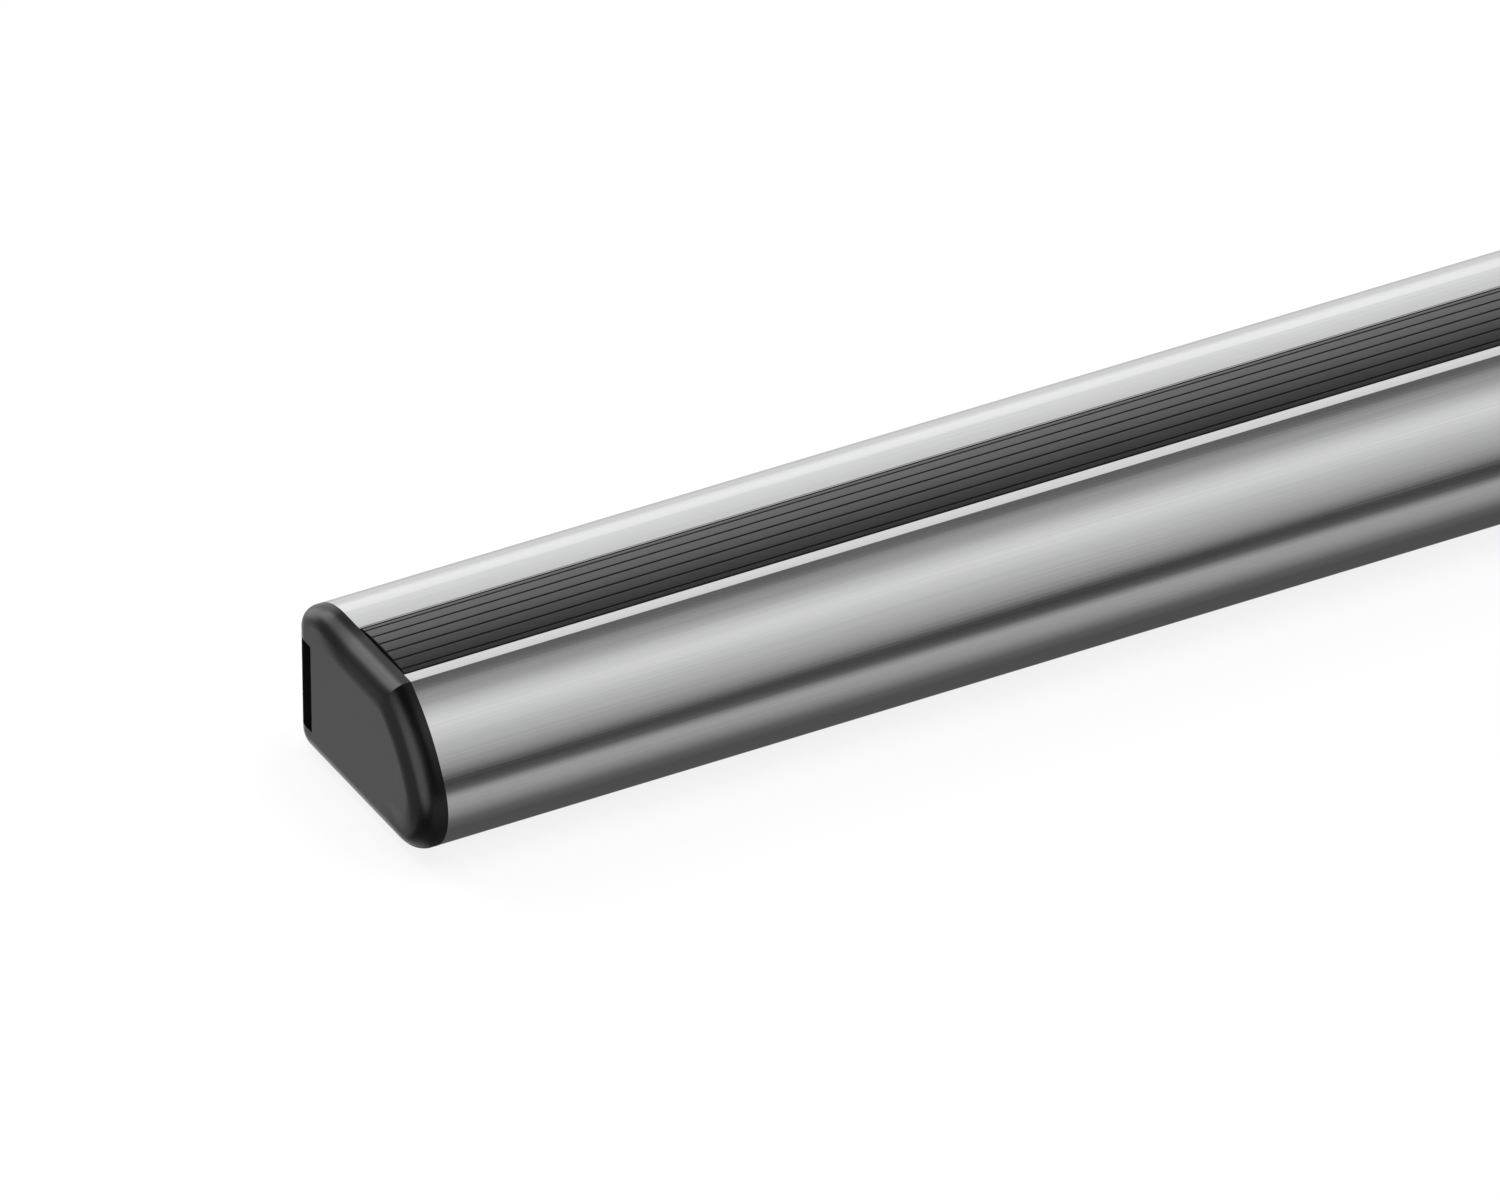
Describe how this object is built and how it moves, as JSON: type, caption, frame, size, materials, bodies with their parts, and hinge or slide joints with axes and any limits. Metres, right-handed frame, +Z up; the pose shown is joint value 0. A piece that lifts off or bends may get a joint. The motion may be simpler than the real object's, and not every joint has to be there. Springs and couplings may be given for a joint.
{
  "type": "roof rack crossbar",
  "caption": "Hollow aluminium crossbar with a curved front, flat underside, ribbed rubber strip in its top slot, moulded end caps, and slots behind and below.",
  "frame": {"origin": "middle of the flat underside, halfway between the ends", "axes": "+X along the bar, +Y towards its upright rear face, +Z up; the curved front faces -Y"},
  "size_m": [1.2, 0.06, 0.0391],
  "materials": {
    "anodised_aluminium": "satin anodised",
    "strip_rubber": "matt, ribbed",
    "cap_plastic": "fine moulded texture",
    "plug_rubber": "matt black"
  },
  "bodies": {
    "root": {"bar_extrusion": "anodised_aluminium", "top_strip": "strip_rubber", "end_cap_left": "cap_plastic", "end_cap_right": "cap_plastic", "rear_slot_plug_left": "plug_rubber", "rear_slot_plug_right": "plug_rubber"}
  },
  "joints": []
}
